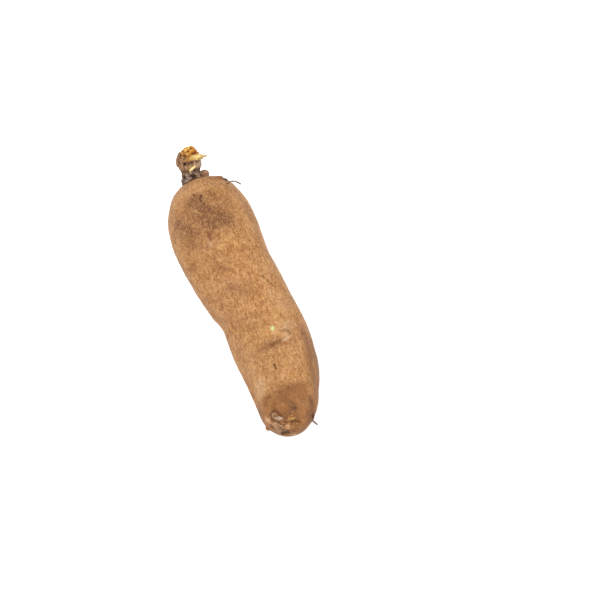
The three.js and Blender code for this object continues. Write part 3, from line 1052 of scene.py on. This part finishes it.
class YAM_OT_stump(bpy.types.Operator):
    """Make the bark of the vine stump, cut off raggedly below the torn flesh"""

    bl_idname = "yam.stump"
    bl_label = "Stump bark"

    # The bark is cut off along a sloping plane at the rim.
    RIM_HEIGHT = 24.2
    RIM_FRONT_SLOPE = 0.1
    RIM_SIDE_SLOPE = 0.2
    FOOT_TOP = (8, 13)
    UPPER_BAND, LOWER_BAND = 11, 5
    UNDERCUT_HEIGHT = 18.6
    BULGE_HEIGHT, BULGE = 17.0, 1.9
    NECK_HEIGHT = 9.5
    HOLE = (18.3, -28, 11)
    KNOB = (7.0, 78, 15.5)
    # The painted highlight on the top of the knob.
    KNOB_HIGHLIGHT = (7.9, 74, 15.8)
    # Sides of the stump: the middle turn, and how sharply the side begins.
    RIGHT_SIDE = (55, 0.2, 0.8)
    BULGE_SIDE = (85, 0.2, 0.85)
    LEFT_SIDE = (-62, 0.1, 0.75)
    DUSTY_SIDE = (-40, 0.1, 0.8)
    # How far the flap stands from the stump's axis, by its height.
    FLAP_REACHES = [
        (13, 10.3), (17.5, 11.4), (21.5, 12.6), (24.4, 12.8), (26.4, 12.0), (29, 11.0), (32, 9.6), (35, 7.6)]
    FLAP_THICKNESS = 2.3
    # The middles of the flap's wavy edges: its sides in degrees round, its foot and top in heights.
    FLAP_LEFT, FLAP_RIGHT = -116, -60
    FLAP_FOOT, FLAP_TOP = 17.6, 29

    def execute(self, context):
        settings = context.scene.yam_stump
        stump = StumpMap()
        piece = merged_copy("stem_stump", "stump_bark")
        outwards = stump.axis + stump.front * self.RIM_FRONT_SLOPE + stump.side * self.RIM_SIDE_SLOPE
        keep_one_side(piece, stump.point(self.RIM_HEIGHT, 0, 0) * MM, outwards)
        add_modifier(piece, "REMESH", mode="VOXEL", voxel_size=settings.grid)
        add_modifier(piece, "SMOOTH", factor=0.5, iterations=5)
        points = points_of(piece)
        height, turn, reach = stump.coordinates(points)
        low_down = 1 - smooth_step(height, *self.FOOT_TOP)
        right_side = stump.on_side(turn, *self.RIGHT_SIDE)
        left_side = stump.on_side(turn, *self.LEFT_SIDE)

        places = stump.bark_places(height, turn)
        strands = lumps(places, 1.9, (1, 5, 1), octaves=3)
        knobs = crumbs(places, 5.0, shift=5)
        bands = band(height - self.UPPER_BAND - 1.2 * strands, 1.1)
        bands += 0.8 * band(height - self.LOWER_BAND, 1.0)
        undercut = band(height - self.UNDERCUT_HEIGHT - 0.8 * strands, 1.9) * right_side
        hole = nearness(points, stump.point(*self.HOLE), 1.3)
        side = smooth_step(reach, 5, 8.5)
        rise = 0.6 * strands * (1 - 0.5 * low_down) + 1.5 * (knobs - 0.35) * low_down - 0.6 * bands
        bulge = band(height - self.BULGE_HEIGHT, 3.0) * stump.on_side(turn, *self.BULGE_SIDE)
        rise = (rise - 0.7 * undercut + self.BULGE * bulge) * side - 2.6 * hole
        near_rim = smooth_step(height, self.RIM_HEIGHT - 6, self.RIM_HEIGHT - 2)
        ragged = lumps(places * np.array([1, 0.05, 1]), 3.0, octaves=3, shift=9)
        points += stump.outwards(turn) * rise[:, None]
        points += stump.axis * (near_rim * side * (0.6 + 2.0 * ragged))[:, None]
        place_points(piece, points)

        bast = left_side * smooth_step(height, 8, 13) + 0.6 * smooth_step(height, 12, 15) * right_side
        foot = 1 - smooth_step(height, 5, 9)
        knob = nearness(points, stump.point(*self.KNOB), 4.5)
        knob_highlight = nearness(points, stump.point(*self.KNOB_HIGHLIGHT), 1.9)
        neck = band(height - self.NECK_HEIGHT - 1.5 * strands, 2.2) * right_side
        # The tone follows the relief, so the hole, the undercut under the lip and the grooves come out darker
        # as well: painted shade.
        paint(piece, "relief", 0.5 + 0.45 * rise)
        paint(piece, "bast", bast * (0.8 + 0.6 * strands))
        paint(piece, "dusty", 0.7 * foot * stump.on_side(turn, *self.DUSTY_SIDE))
        # The knob is paler, with a painted highlight on its top.
        paint(piece, "pale", np.maximum(0.95 * knob_highlight, 0.45 * knob))
        # Painted shade: near-black in the hole, under the lip's overhang and in the neck's groove on the
        # right.
        paint(piece, "hollow", np.maximum.reduce([hole, undercut * (0.32 - 0.25 * strands), 0.32 * neck]))
        material = bark_material(settings)
        finish_piece(piece, material, "stump_bark", "stem_stump")
        self.make_flap(stump, material)
        return {"FINISHED"}

    def make_flap(self, stump, material):
        """The curled sheet of bark that still stands up at the left of the break."""
        bpy.ops.object.select_all(action="DESELECT")
        bpy.ops.mesh.primitive_grid_add(x_subdivisions=40, y_subdivisions=44, size=1)
        piece = bpy.context.object
        piece.name = "bark_flap"
        across, up, _ = np.array([vertex.co for vertex in piece.data.vertices]).T + 0.5
        wave = lumps(np.column_stack([across * 8, up * 2, 0 * up]), 1.0, octaves=3, shift=2)
        edges = np.column_stack([0 * up, up * 5, 0 * up])
        left = self.FLAP_LEFT + 12 * lumps(edges, 1.0, octaves=3, shift=8) - 8 * up
        right = self.FLAP_RIGHT + 12 * lumps(edges, 1.0, octaves=3)
        turn = left + (right - left) * across
        top = self.FLAP_TOP + 2.5 * across + 2.4 * wave
        foot = self.FLAP_FOOT + 1.2 * wave
        height = foot + (top - foot) * up
        reach = np.interp(height, *zip(*self.FLAP_REACHES))
        reach = reach + 0.2 + 1.1 * band(height - 18.5, 2.5) * (1 - across) + 0.35 * wave
        place_points(piece, stump.point(height, turn, reach))
        piece.matrix_world = Matrix.Identity(4)
        add_modifier(piece, "SOLIDIFY", thickness=self.FLAP_THICKNESS * MM, offset=0)
        add_modifier(piece, "SUBSURF", levels=1, render_levels=1)

        points = points_of(piece)
        height, turn, _ = stump.coordinates(points)
        rough = lumps(stump.bark_places(height, turn), 1.7, (1, 4, 1), octaves=3, shift=6)
        place_points(piece, points + normals_of(piece) * (0.35 * rough)[:, None])
        paint(piece, "relief", 0.45 + 0.35 * rough)
        paint(piece, "bast", 0.35 + 0.6 * smooth_step(turn, -98, -66))
        for name in ("dusty", "pale", "hollow"):
            paint(piece, name, np.zeros(len(points)))
        face_outwards(piece)
        finish_piece(piece, material, "stump_bark", "stem_stump")


class YAM_OT_flesh(bpy.types.Operator):
    """Make the crumbled orange flesh of the break"""

    bl_idname = "yam.flesh"
    bl_label = "Torn flesh"

    CUT_HEIGHT = 21.6
    FRONT_SLOPE = 0.1
    SIDE_SLOPE = 0.16
    # The flesh is tucked in under the rim, up to these heights.
    TUCK = 2.4
    TUCKED_HEIGHTS = (22.8, 25.0)
    PITS = [(34.4, 22, 5.4), (32.0, -15, 7.7), (28.4, 19, 9.0), (30.5, 45, 8.6), (27.0, -30, 10.4)]
    PIT_HALF_WIDTH = 1.3
    # A painted highlight makes the flesh brighter and yellower near the top, and less bright towards the
    # orange side.
    YELLOW_HIGHLIGHT = (35.5, -10, 4)
    ORANGE = (31, 62, 8)
    # A painted highlight: a near-white spot on the flesh.
    SPECK_HIGHLIGHT = (32.8, 22, 6.5)
    TAN_SIDE = (-60, 0.3, 0.8)

    def execute(self, context):
        settings = context.scene.yam_stump
        stump = StumpMap()
        piece = merged_copy("stem_stump", "torn_flesh")
        inwards = -(stump.axis + stump.front * self.FRONT_SLOPE + stump.side * self.SIDE_SLOPE)
        keep_one_side(piece, stump.point(self.CUT_HEIGHT, 0, 0) * MM, inwards)
        add_modifier(piece, "REMESH", mode="VOXEL", voxel_size=settings.grid)
        add_modifier(piece, "SMOOTH", factor=0.5, iterations=4)
        points = points_of(piece)
        height, turn, reach = stump.coordinates(points)
        big, small = crumbs(stirred(points, 1.0, 4), 4.4, shift=2), crumbs(points, 1.8, shift=4)
        pits = np.maximum.reduce([
            nearness(points, stump.point(*pit), self.PIT_HALF_WIDTH) for pit in self.PITS])
        rise = 1.9 * (big - 0.5) + 0.8 * (small - 0.5) - 1.5 * pits - 0.3
        side, front = reach * np.sin(np.radians(turn)), reach * np.cos(np.radians(turn))
        above_cut = height + self.FRONT_SLOPE * front + self.SIDE_SLOPE * side
        bared = smooth_step(above_cut, *self.TUCKED_HEIGHTS)
        place_points(piece, points + normals_of(piece) * (rise * bared - self.TUCK * (1 - bared))[:, None])

        left_side = stump.on_side(turn, *self.TAN_SIDE)
        # Painted highlight: the flesh's tone is raised near the top and lowered towards the right.
        yellow = nearness(points, stump.point(*self.YELLOW_HIGHLIGHT), 5.5)
        yellow = yellow - 0.4 * nearness(points, stump.point(*self.ORANGE), 6.0)
        paint(piece, "relief", 0.53 + 0.38 * (rise + 0.1) + 0.22 * yellow)
        paint(piece, "tan", left_side * (1 - smooth_step(height, 28, 37)) * (0.66 + 0.9 * (small - 0.4)))
        paint(piece, "hollow", pits)
        # Painted highlight: a near-white spot on the flesh.
        paint(piece, "pale", 0.7 * nearness(points, stump.point(*self.SPECK_HIGHLIGHT), 0.8))
        finish_piece(piece, flesh_material(settings), "stump_bark", "stem_stump")
        return {"FINISHED"}


class YAM_OT_splinters(bpy.types.Operator):
    """Make the cream splinters of the broken rim and the sliver on the bark"""

    bl_idname = "yam.splinters"
    bl_label = "Splinters"

    def execute(self, context):
        settings = context.scene.yam_stump
        stump = StumpMap()
        material = splinter_material(settings)
        pieces = [self.make_splinter(stump, *row) for row in SPLINTERS]
        pieces.append(joined([self.make_shard(stump, number) for number in range(SHARDS)], "rim_shards"))
        for piece in pieces:
            height, turn, _ = stump.coordinates(points_of(piece))
            paint(piece, "browned", 0.9 * smooth_step(-turn, -26, 4) * smooth_step(height, 17, 19))
            finish_piece(piece, material, "stump_bark")
        return {"FINISHED"}

    def make_splinter(self, stump, name, places, widths, thickness, roughness, seed):
        route = np.array([stump.point(*place) for place in places])
        turns = np.array([turn for _, turn, _ in places])
        facing = stump.outwards(turns) if name == FLAT_SPLINTER else stump.axis
        return strip(name, route, facing, widths, thickness, roughness, seed)

    def make_shard(self, stump, number):
        chance = [noise.noise(Vector((number * 1.7 + 0.3, 3.1 + 5 * axis, 0.2))) for axis in range(3)]
        first, last = SHARD_TURNS
        turn = first + (last - first) * number / (SHARDS - 1) + 10 * chance[0]
        height = 23.2 + 0.02 * turn + 4.5 * chance[1]
        places = [
            (height, turn, 10.6), (height - 0.4, turn + 3, 12.6), (height - 1.2, turn + 6, 13.9 + chance[2])]
        width = 2.2 + 1.6 * chance[2]
        widths = [(0, width), (0.6, 0.7 * width), (1, 0.3)]
        return self.make_splinter(stump, "rim_shard", places, widths, 1.1, 0.6, number + 10)


class YAM_OT_flakes(bpy.types.Operator):
    """Make the dry flakes and scales that lie on the skin"""

    bl_idname = "yam.flakes"
    bl_label = "Flakes"

    OUTLINE = [(0, 0.25), (0.2, 0.9), (0.6, 1), (0.85, 0.7), (1, 0.15)]
    SCALE_OUTLINE = [(0, 0.3), (0.4, 1), (1, 0.2)]
    SCALE_WIDTHS = (1.2, 2.4)
    SCALE_THICKNESS = 0.8
    FLAKE_SEED = 40
    SCALE_SEED = 60

    def execute(self, context):
        settings = context.scene.yam_flakes
        skin_map = SkinMap(bpy.data.objects["yam_skin"])
        for number, (name, places, width, thickness, colours) in enumerate(FLAKES):
            found = [skin_map.point(*place) for place in places]
            route = np.array([point for point, _ in found])
            facing = np.array([normal for _, normal in found])
            widths = [(share, part * width) for share, part in self.OUTLINE]
            seed = self.FLAKE_SEED + number
            piece = strip(name, route, facing, widths, thickness, settings.roughness, seed)
            finish_piece(piece, fibrous_material(name, [linear(colour) for colour in colours]), "skin")
        self.make_scurf(skin_map, settings)
        return {"FINISHED"}

    def make_scurf(self, skin_map, settings):
        """Small loose scales, scattered over the scars of the tip."""
        chance = np.random.default_rng(SCURF_SEED)
        groups = [[] for _ in SCURF_COLOURS]
        alongs, arounds = SCURF_PLACES
        for number in range(SCURF):
            middle = Vector((chance.uniform(*alongs), chance.uniform(*arounds)))
            reach = Vector((chance.uniform(-1.2, 1.2), chance.uniform(-6, 6)))
            found = [skin_map.point(*(middle + reach * step)) for step in (-1, -0.3, 0.3, 1)]
            route = np.array([point for point, _ in found])
            facing = np.array([normal for _, normal in found])
            width = chance.uniform(*self.SCALE_WIDTHS)
            widths = [(share, part * width) for share, part in self.SCALE_OUTLINE]
            piece = strip("scurf_scale", route, facing, widths, self.SCALE_THICKNESS, settings.roughness,
                          number + self.SCALE_SEED)
            groups[number % len(groups)].append(piece)
        for number, (pieces, colours) in enumerate(zip(groups, SCURF_COLOURS)):
            name = f"scurf_{number}"
            material = fibrous_material(name, [linear(colour) for colour in colours])
            finish_piece(joined(pieces, name), material, "skin")


class YAM_OT_rootlets(bpy.types.Operator):
    """Make the dried rootlets beside the crown and beside the tip"""

    bl_idname = "yam.rootlets"
    bl_label = "Rootlets"

    def execute(self, context):
        settings = context.scene.yam_rootlets
        grey_colours = (ROOTLET_HOLLOW, settings.colour, ROOTLET_RIDGE)
        grey = fibrous_material("grey_rootlet", grey_colours, roughness=0.85)
        red = fibrous_material("red_rootlet", RED_ROOTLET, roughness=0.85)
        for node, material, swell in (("crown_rootlet", grey, 0.0), ("tip_rootlet", red, 0.3)):
            piece = merged_copy(node, node + "_fibre")
            add_modifier(piece, "SUBSURF", levels=2, render_levels=2)
            points = points_of(piece)
            rough = settings.relief / MM * lumps(points, 1.6, octaves=2)
            points += normals_of(piece) * (swell + rough)[:, None]
            place_points(piece, points)
            finish_piece(piece, material, "rootlet", node)
        return {"FINISHED"}


# ---------------------------------------------------------------------------------------------
# Stage


def seen_directly(tree):
    """1 where the camera, a mirror or glass looks straight at a surface, and 0 elsewhere."""
    path = tree.nodes.new("ShaderNodeLightPath")
    seen = calculate(tree, "ADD", path.outputs["Is Camera Ray"], path.outputs["Is Glossy Ray"])
    seen = calculate(tree, "ADD", seen, path.outputs["Is Transmission Ray"])
    return calculate(tree, "MINIMUM", seen, 1.0)


class YAM_OT_stage(bpy.types.Operator):
    """Make the floor, the lamps and the camera"""

    bl_idname = "yam.stage"
    bl_label = "Stage"

    # The camera looks down on the tuber, and the tuber lies off the middle of the view.
    LENS = 85
    DISTANCE = 1.431
    AZIMUTH = -19
    ELEVATION = 66
    AIM = Vector((52.8, -15.5, 45)) * MM
    FLOOR_SIZE = 12
    FLOOR_GLOW = 0.6
    KEY_PLACE, KEY_SIZE = Vector((-0.58, -0.02, 1.36)), 0.9
    FILL_PLACE, FILL_SIZE = Vector((0.9, -0.62, 0.98)), 1.2

    def execute(self, context):
        settings = context.scene.yam_stage
        low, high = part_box("tuber")
        middle = Vector(((low.x + high.x) / 2, (low.y + high.y) / 2, 0))
        self.make_floor(settings)
        self.make_sky(context, settings)
        self.make_lamp("key_lamp", middle, self.KEY_PLACE, self.KEY_SIZE, settings.key_power)
        self.make_lamp("fill_lamp", middle, self.FILL_PLACE, self.FILL_SIZE, settings.fill_power)
        self.make_camera(context, middle + self.AIM)
        return {"FINISHED"}

    def make_floor(self, settings):
        bpy.ops.mesh.primitive_plane_add(size=self.FLOOR_SIZE, location=(0, 0, 0))
        floor = bpy.context.object
        floor.name = "floor"
        material = bpy.data.materials.new("pale_floor")
        material.use_nodes = True
        tree = material.node_tree
        shader = tree.nodes["Principled BSDF"]
        shader.inputs["Base Color"].default_value = (*settings.floor_colour, 1)
        shader.inputs["Roughness"].default_value = 1.0
        shader.inputs["Specular IOR Level"].default_value = 0.0
        shader.inputs["Emission Color"].default_value = (1, 1, 1, 1)
        glow = times(tree, seen_directly(tree), self.FLOOR_GLOW)
        tree.links.new(glow, shader.inputs["Emission Strength"])
        floor.data.materials.append(material)

    def make_sky(self, context, settings):
        world = bpy.data.worlds.new("sky")
        context.scene.world = world
        world.use_nodes = True
        tree = world.node_tree
        background = tree.nodes["Background"]
        background.inputs["Color"].default_value = (1, 1, 1, 1)
        strength = calculate(tree, "MULTIPLY_ADD", seen_directly(tree), 1 - settings.sky, settings.sky)
        tree.links.new(strength, background.inputs["Strength"])

    def make_lamp(self, name, middle, offset, size, power):
        bpy.ops.object.light_add(type="AREA", location=middle + offset)
        lamp = bpy.context.object
        lamp.name = name
        lamp.data.size = size
        lamp.data.energy = power
        lamp.rotation_euler = offset.to_track_quat("Z", "Y").to_euler()

    def make_camera(self, context, aim):
        turn, rise = radians(self.AZIMUTH), radians(self.ELEVATION)
        back = Vector((sin(turn) * cos(rise), -cos(turn) * cos(rise), sin(rise)))
        bpy.ops.object.camera_add(location=aim + back * self.DISTANCE)
        camera = bpy.context.object
        camera.rotation_euler = back.to_track_quat("Z", "Y").to_euler()
        camera.data.lens = self.LENS
        camera.data.clip_start = 0.05
        camera.data.clip_end = 50
        context.scene.camera = camera
        context.scene.view_settings.view_transform = "Standard"


class YAM_PT_parts(bpy.types.Panel):
    """The pieces of the yam, in the order in which they are made"""

    bl_idname = "YAM_PT_parts"
    bl_label = "Yam"
    bl_space_type = "VIEW_3D"
    bl_region_type = "UI"
    bl_category = "Yam"

    def draw(self, context):
        for operator in OPERATORS:
            self.layout.operator(operator.bl_idname)


SETTINGS = {
    "yam_skin": SkinSettings,
    "yam_stump": StumpSettings,
    "yam_flakes": FlakeSettings,
    "yam_rootlets": RootletSettings,
    "yam_stage": StageSettings,
}
OPERATORS = [
    YAM_OT_stage, YAM_OT_skin, YAM_OT_stump, YAM_OT_flesh, YAM_OT_splinters, YAM_OT_flakes, YAM_OT_rootlets,
]


def register():
    for kind in (*SETTINGS.values(), *OPERATORS, YAM_PT_parts):
        bpy.utils.register_class(kind)
    for name, kind in SETTINGS.items():
        setattr(bpy.types.Scene, name, bpy.props.PointerProperty(type=kind))


def unregister():
    for name in SETTINGS:
        delattr(bpy.types.Scene, name)
    for kind in reversed((*SETTINGS.values(), *OPERATORS, YAM_PT_parts)):
        bpy.utils.unregister_class(kind)


def main():
    register()
    bpy.ops.yam.stage()
    bpy.ops.yam.skin()
    bpy.ops.yam.stump()
    bpy.ops.yam.flesh()
    bpy.ops.yam.splinters()
    bpy.ops.yam.flakes()
    bpy.ops.yam.rootlets()


if __name__ == "__main__":
    main()
